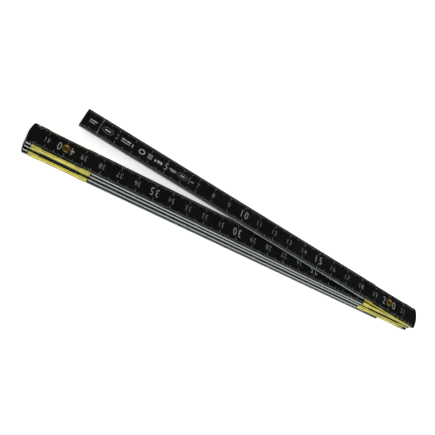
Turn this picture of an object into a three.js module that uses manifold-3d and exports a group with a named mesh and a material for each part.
// A folding rule one metre long: five flat metal sections joined end to end by four riveted
// spring joints. The last section lies on the table, each earlier one lies one level higher,
// and the first one stands a little open.
//
// Millimetres, +Z up. The origin is on the underside of the last section, half way along its
// scale, and +X runs along that section towards its free end.

import * as THREE from 'three';
import { mergeVertices } from 'three/addons/utils/BufferGeometryUtils.js';
import Module from 'manifold-3d';

const wasm = await Module();
wasm.setup();

// Sections
const SECTION_COUNT = 5;
const MARK_SPAN = 200; // scale carried by one section, from rivet to rivet
const SECTION_WIDTH = 13.7;
const SECTION_THICKNESS = 1.2;
const LEVEL_GAP = 1.45; // free height between neighbouring sections
const END_OVERHANG = 20; // from a rivet to the rounded end beyond it
const CORNER_SIZE = 0.8;

// How far each section stands open on the one below it, in degrees, from the first section down
const OPEN_ANGLES = [6.6, 0.17, 0.1, 0.17];

// Hinge plates: shallow channels that grip a section by its sides
const PLATE_THICKNESS = 0.6;
const PLATE_LENGTH = 32;
const PLATE_BEND_RADIUS = 0.15; // inside of the bend
const FLANGE_REACH = SECTION_THICKNESS - 0.05;
const FLANGE_DIP = 0.35; // the flange is lower between its two end ears
const FLANGE_DIP_LENGTH = 20;
const FLANGE_DIP_SLOPE = 1.5;
const RECESS_SIDE_PLAY = 0.2; // between a flange and the section's recessed side
const RECESS_END_PLAY = 0.3;

// Rivets
const SHANK_RADIUS = 1.5;
const FIXED_PLAY = 0.06; // around the rivet where it is clinched
const TURNING_PLAY = 0.1; // around the rivet where a part turns on it
const FACE_PLAY = 0.03; // between faces that slide on each other
const HEAD_RADIUS = 2.4;
const HEAD_HEIGHT = 0.6;
const HEAD_DISH_RADIUS = 1.5;
const TAIL_FLARE = 0.8; // how far the tail is spread, and how deep its countersink is
const TAIL_BORE_RADIUS = 0.9;
const TAIL_BORE_DEPTH = 1.1;
const TAIL_SETBACK = 0.05; // keeps the tail above the underside

// Detents and springs
const DETENT_OFFSET = 10; // from the rivet, along the plate
const DETENT_RADIUS = 1.0;
const DETENT_HEIGHT = 0.2;
const DETENT_HOLE_RADIUS = 1.2;
const SPRING_INNER_RADIUS = 1.75;
const SPRING_OUTER_RADIUS = 4.5;
const SPRING_THICKNESS = 0.15;

const ROUND_SEGMENTS = 24;
const ARC_SEGMENTS = 6;
const PRESSED_STEPS = 4; // around a rivet's rim or up a detent pip

const HALF_WIDTH = SECTION_WIDTH / 2;
const HALF_PLATE = PLATE_LENGTH / 2;
const RECESS_WALL = HALF_WIDTH - PLATE_THICKNESS - RECESS_SIDE_PLAY;
const RECESS_HALF_LENGTH = HALF_PLATE + RECESS_END_PLAY;
const LEVEL_PITCH = SECTION_THICKNESS + LEVEL_GAP;

const blackPaint = new THREE.MeshStandardMaterial({ color: 0x15181a, roughness: 0.45, metalness: 0.1 });
const brass = new THREE.MeshStandardMaterial({ color: 0xb9ab45, roughness: 0.32, metalness: 0.9 });
const springSteel = new THREE.MeshStandardMaterial({ color: 0x8b8e92, roughness: 0.35, metalness: 0.9 });

// Booleans

function toSolid(geometry) {
  const bare = geometry.clone();
  bare.deleteAttribute('normal');
  bare.deleteAttribute('uv');
  const merged = mergeVertices(bare);
  return new wasm.Manifold(new wasm.Mesh({
    numProp: 3,
    vertProperties: merged.attributes.position.array,
    triVerts: new Uint32Array(merged.index.array),
  }));
}

function toGeometry(solid) {
  const mesh = solid.getMesh();
  const geometry = new THREE.BufferGeometry();
  geometry.setAttribute('position', new THREE.BufferAttribute(mesh.vertProperties, 3));
  geometry.setIndex(new THREE.BufferAttribute(mesh.triVerts, 1));
  geometry.computeVertexNormals();
  return geometry;
}

// Basic solids

// A turned solid about Z; the profile is a list of [radius, height] from low to high
function turned(profile) {
  const points = profile.map(([radius, height]) => new THREE.Vector2(radius, height));
  return new THREE.LatheGeometry(points, ROUND_SEGMENTS).rotateX(Math.PI / 2);
}

function cutter(radius, low, high) {
  return toSolid(turned([[0, low], [radius, low], [radius, high], [0, high]]));
}

// A section of the Y-Z plane drawn out along X, centred on X = 0
function drawnAlongX(outline, length) {
  const geometry = new THREE.ExtrudeGeometry(outline, {
    depth: length, bevelEnabled: false, curveSegments: ARC_SEGMENTS,
  });
  geometry.translate(0, 0, -length / 2);
  const axes = new THREE.Matrix4().makeBasis(
    new THREE.Vector3(0, 1, 0), new THREE.Vector3(0, 0, 1), new THREE.Vector3(1, 0, 0),
  );
  return geometry.applyMatrix4(axes);
}

// Sections. Each is drawn with its lowest mark at X = 0 and its highest at X = MARK_SPAN.
// Turn 1 follows the side at -Y towards +X, and turn -1 the side at +Y towards -X.

function traceSide(outline, rivetPlaces, turn) {
  const places = turn > 0 ? rivetPlaces : [...rivetPlaces].reverse();
  for (const x of places) {
    const entry = x - turn * RECESS_HALF_LENGTH;
    const exit = x + turn * RECESS_HALF_LENGTH;
    outline.lineTo(entry, -turn * HALF_WIDTH);
    outline.lineTo(entry, -turn * RECESS_WALL);
    outline.lineTo(exit, -turn * RECESS_WALL);
    outline.lineTo(exit, -turn * HALF_WIDTH);
  }
}

function traceRoundEnd(outline, rivetX, turn) {
  const cornerX = Math.sqrt(END_OVERHANG ** 2 - HALF_WIDTH ** 2);
  const sweep = Math.asin(HALF_WIDTH / END_OVERHANG) - CORNER_SIZE / END_OVERHANG;
  const middle = turn > 0 ? 0 : Math.PI;
  const onArc = (angle) => [
    rivetX + END_OVERHANG * Math.cos(middle + angle),
    END_OVERHANG * Math.sin(middle + angle),
  ];
  const corner = (side) => [rivetX + turn * cornerX, side * turn * HALF_WIDTH];
  outline.lineTo(rivetX + turn * (cornerX - CORNER_SIZE), -turn * HALF_WIDTH);
  outline.quadraticCurveTo(...corner(-1), ...onArc(-sweep));
  outline.absarc(rivetX, 0, END_OVERHANG, middle - sweep, middle + sweep, false);
  outline.quadraticCurveTo(...corner(1), rivetX + turn * (cornerX - CORNER_SIZE), turn * HALF_WIDTH);
}

function traceSquareEnd(outline, endX, turn) {
  const inset = endX - turn * CORNER_SIZE;
  const flat = turn * (HALF_WIDTH - CORNER_SIZE);
  outline.lineTo(inset, -turn * HALF_WIDTH);
  outline.quadraticCurveTo(endX, -turn * HALF_WIDTH, endX, -flat);
  outline.lineTo(endX, flat);
  outline.quadraticCurveTo(endX, turn * HALF_WIDTH, inset, turn * HALF_WIDTH);
}

function sectionGeometry(hasLowJoint, hasHighJoint) {
  const rivetPlaces = [...(hasLowJoint ? [0] : []), ...(hasHighJoint ? [MARK_SPAN] : [])];
  const traceEnd = (hasJoint, x, turn) => (hasJoint ? traceRoundEnd : traceSquareEnd)(outline, x, turn);
  const outline = new THREE.Shape();
  outline.moveTo(MARK_SPAN / 2, -HALF_WIDTH);
  traceSide(outline, rivetPlaces.filter((x) => x > 0), 1);
  traceEnd(hasHighJoint, MARK_SPAN, 1);
  traceSide(outline, rivetPlaces, -1);
  traceEnd(hasLowJoint, 0, -1);
  traceSide(outline, rivetPlaces.filter((x) => x === 0), 1);
  outline.closePath();
  let solid = toSolid(new THREE.ExtrudeGeometry(outline, {
    depth: SECTION_THICKNESS, bevelEnabled: false, curveSegments: ARC_SEGMENTS,
  }));
  // The rivet is clinched in the section's low end and turns in its high end
  if (hasLowJoint) {
    const radius = SHANK_RADIUS + FIXED_PLAY;
    const wide = radius + TAIL_FLARE + FIXED_PLAY;
    const hole = [[0, -1], [wide + 1, -1], [radius, TAIL_FLARE + FIXED_PLAY]];
    solid = solid.subtract(toSolid(turned([...hole, [radius, LEVEL_PITCH], [0, LEVEL_PITCH]])));
  }
  if (hasHighJoint) {
    const hole = cutter(SHANK_RADIUS + TURNING_PLAY, -1, LEVEL_PITCH).translate([MARK_SPAN, 0, 0]);
    solid = solid.subtract(hole);
  }
  return toGeometry(solid);
}

// Hinge plates. The channel's web lies at Z = -PLATE_THICKNESS to 0 and its flanges rise from it.

function channelOutline() {
  const inside = HALF_WIDTH - PLATE_THICKNESS;
  const outerRadius = PLATE_BEND_RADIUS + PLATE_THICKNESS;
  const outline = new THREE.Shape();
  outline.moveTo(outerRadius - HALF_WIDTH, -PLATE_THICKNESS);
  outline.absarc(HALF_WIDTH - outerRadius, PLATE_BEND_RADIUS, outerRadius, -Math.PI / 2, 0, false);
  outline.lineTo(HALF_WIDTH, FLANGE_REACH);
  outline.lineTo(inside, FLANGE_REACH);
  outline.absarc(inside - PLATE_BEND_RADIUS, PLATE_BEND_RADIUS, PLATE_BEND_RADIUS, 0, -Math.PI / 2, true);
  outline.absarc(PLATE_BEND_RADIUS - inside, PLATE_BEND_RADIUS, PLATE_BEND_RADIUS, -Math.PI / 2, -Math.PI, true);
  outline.lineTo(-inside, FLANGE_REACH);
  outline.lineTo(-HALF_WIDTH, FLANGE_REACH);
  outline.absarc(outerRadius - HALF_WIDTH, PLATE_BEND_RADIUS, outerRadius, Math.PI, Math.PI * 1.5, false);
  return outline;
}

// The block that takes the middle of both flanges down a little, with a slope at each end
function flangeDip() {
  const low = FLANGE_REACH - FLANGE_DIP;
  const high = FLANGE_REACH + 1;
  const flat = FLANGE_DIP_LENGTH / 2;
  const rise = (high - low) * FLANGE_DIP_SLOPE / FLANGE_DIP;
  const outline = new THREE.Shape();
  outline.moveTo(-flat, low);
  outline.lineTo(flat, low);
  outline.lineTo(flat + rise, high);
  outline.lineTo(-flat - rise, high);
  outline.closePath();
  const block = new THREE.ExtrudeGeometry(outline, { depth: 2 * SECTION_WIDTH, bevelEnabled: false });
  return toSolid(block.translate(0, 0, -SECTION_WIDTH).rotateX(Math.PI / 2));
}

function channelSolid(holeRadius) {
  return toSolid(drawnAlongX(channelOutline(), PLATE_LENGTH))
    .subtract(flangeDip())
    .subtract(cutter(holeRadius, -1, 1));
}

// The plate under a section: its flanges rise beside the section, and the pips below find its holes
function upperPlateGeometry() {
  let solid = channelSolid(SHANK_RADIUS + TURNING_PLAY);
  for (const side of [-1, 1]) {
    solid = solid.subtract(cutter(DETENT_HOLE_RADIUS, -1, 1).translate([side * DETENT_OFFSET, 0, 0]));
  }
  return toGeometry(solid);
}

// The plate on top of a section: the same channel, turned over, with two pressed pips
function lowerPlateGeometry() {
  const sphereRadius = (DETENT_RADIUS ** 2 + DETENT_HEIGHT ** 2) / (2 * DETENT_HEIGHT);
  const top = PLATE_THICKNESS + DETENT_HEIGHT;
  const rim = Math.asin(DETENT_RADIUS / sphereRadius);
  const dome = [[0, PLATE_THICKNESS / 2], [DETENT_RADIUS, PLATE_THICKNESS / 2]];
  for (let step = 0; step <= PRESSED_STEPS; step += 1) {
    const angle = rim * (1 - step / PRESSED_STEPS);
    dome.push([sphereRadius * Math.sin(angle), top - sphereRadius * (1 - Math.cos(angle))]);
  }
  let solid = channelSolid(SHANK_RADIUS + FIXED_PLAY).rotate([180, 0, 0]);
  for (const side of [-1, 1]) {
    solid = solid.add(toSolid(turned(dome)).translate([side * DETENT_OFFSET, 0, 0]));
  }
  return toGeometry(solid);
}

// Rivets and springs, drawn from the underside of the lower section at Z = 0

function rivetGeometry() {
  const seat = LEVEL_PITCH + SECTION_THICKNESS + FACE_PLAY;
  const rimRadius = HEAD_HEIGHT / 2;
  const boreMouth = TAIL_BORE_RADIUS + TAIL_FLARE * 0.8;
  const profile = [
    [0, TAIL_BORE_DEPTH],
    [TAIL_BORE_RADIUS, TAIL_BORE_DEPTH],
    [TAIL_BORE_RADIUS, TAIL_FLARE],
    [boreMouth, TAIL_SETBACK],
    [SHANK_RADIUS + TAIL_FLARE - TAIL_SETBACK, TAIL_SETBACK],
    [SHANK_RADIUS, TAIL_FLARE],
    [SHANK_RADIUS, seat],
  ];
  for (let step = 0; step <= PRESSED_STEPS; step += 1) {
    const angle = Math.PI * (step / PRESSED_STEPS - 0.5);
    const radius = HEAD_RADIUS - rimRadius + rimRadius * Math.cos(angle);
    profile.push([radius, seat + rimRadius + rimRadius * Math.sin(angle)]);
  }
  profile.push([HEAD_DISH_RADIUS, seat + HEAD_HEIGHT * 0.7]);
  profile.push([HEAD_DISH_RADIUS / 2, seat + HEAD_HEIGHT * 0.4]);
  profile.push([0, seat + HEAD_HEIGHT * 0.35]);
  return turned(profile);
}

// A dished washer that pushes the two plates of a joint apart
function springGeometry() {
  const low = SECTION_THICKNESS + PLATE_THICKNESS;
  const rise = LEVEL_GAP - 2 * PLATE_THICKNESS - SPRING_THICKNESS - FACE_PLAY;
  return turned([
    [SPRING_INNER_RADIUS, low + rise],
    [SPRING_OUTER_RADIUS, low],
    [SPRING_OUTER_RADIUS, low + SPRING_THICKNESS],
    [SPRING_INNER_RADIUS, low + rise + SPRING_THICKNESS],
    [SPRING_INNER_RADIUS, low + rise],
  ]);
}

// Assembly

function namedMesh(name, geometry, material, x = 0, z = 0) {
  const mesh = new THREE.Mesh(geometry, material);
  mesh.name = name;
  mesh.position.set(x, 0, z);
  return mesh;
}

// Section 1 starts the scale. A joint is named after the centimetre mark at its rivet.
function sectionGroup(number) {
  const hasLowJoint = number > 1;
  const hasHighJoint = number < SECTION_COUNT;
  const lowMark = (number - 1) * MARK_SPAN / 10;
  const highMark = number * MARK_SPAN / 10;
  const section = new THREE.Group();
  section.add(namedMesh(`section_${number}`, sectionGeometry(hasLowJoint, hasHighJoint), blackPaint));
  if (hasLowJoint) {
    section.add(namedMesh(`hinge_plate_lower_${lowMark}`, lowerPlateGeometry(), brass, 0, SECTION_THICKNESS));
    section.add(namedMesh(`spring_washer_${lowMark}`, springGeometry(), springSteel));
    section.add(namedMesh(`rivet_${lowMark}`, rivetGeometry(), brass));
  }
  if (hasHighJoint) {
    section.add(namedMesh(`hinge_plate_upper_${highMark}`, upperPlateGeometry(), brass, MARK_SPAN));
  }
  return section;
}

// Each section turns on the low end of the next one, one level above it
function foldOnto(lower, upper, openAngle) {
  const joint = new THREE.Group();
  joint.position.z = LEVEL_PITCH;
  joint.rotation.z = Math.PI - THREE.MathUtils.degToRad(openAngle);
  upper.position.x = -MARK_SPAN;
  joint.add(upper);
  lower.add(joint);
}

const sections = Array.from({ length: SECTION_COUNT }, (_, index) => sectionGroup(index + 1));
OPEN_ANGLES.forEach((openAngle, index) => foldOnto(sections[index + 1], sections[index], openAngle));

const group = new THREE.Group();
const lastSection = sections[SECTION_COUNT - 1];
lastSection.position.x = -MARK_SPAN / 2;
group.add(lastSection);

export default group;
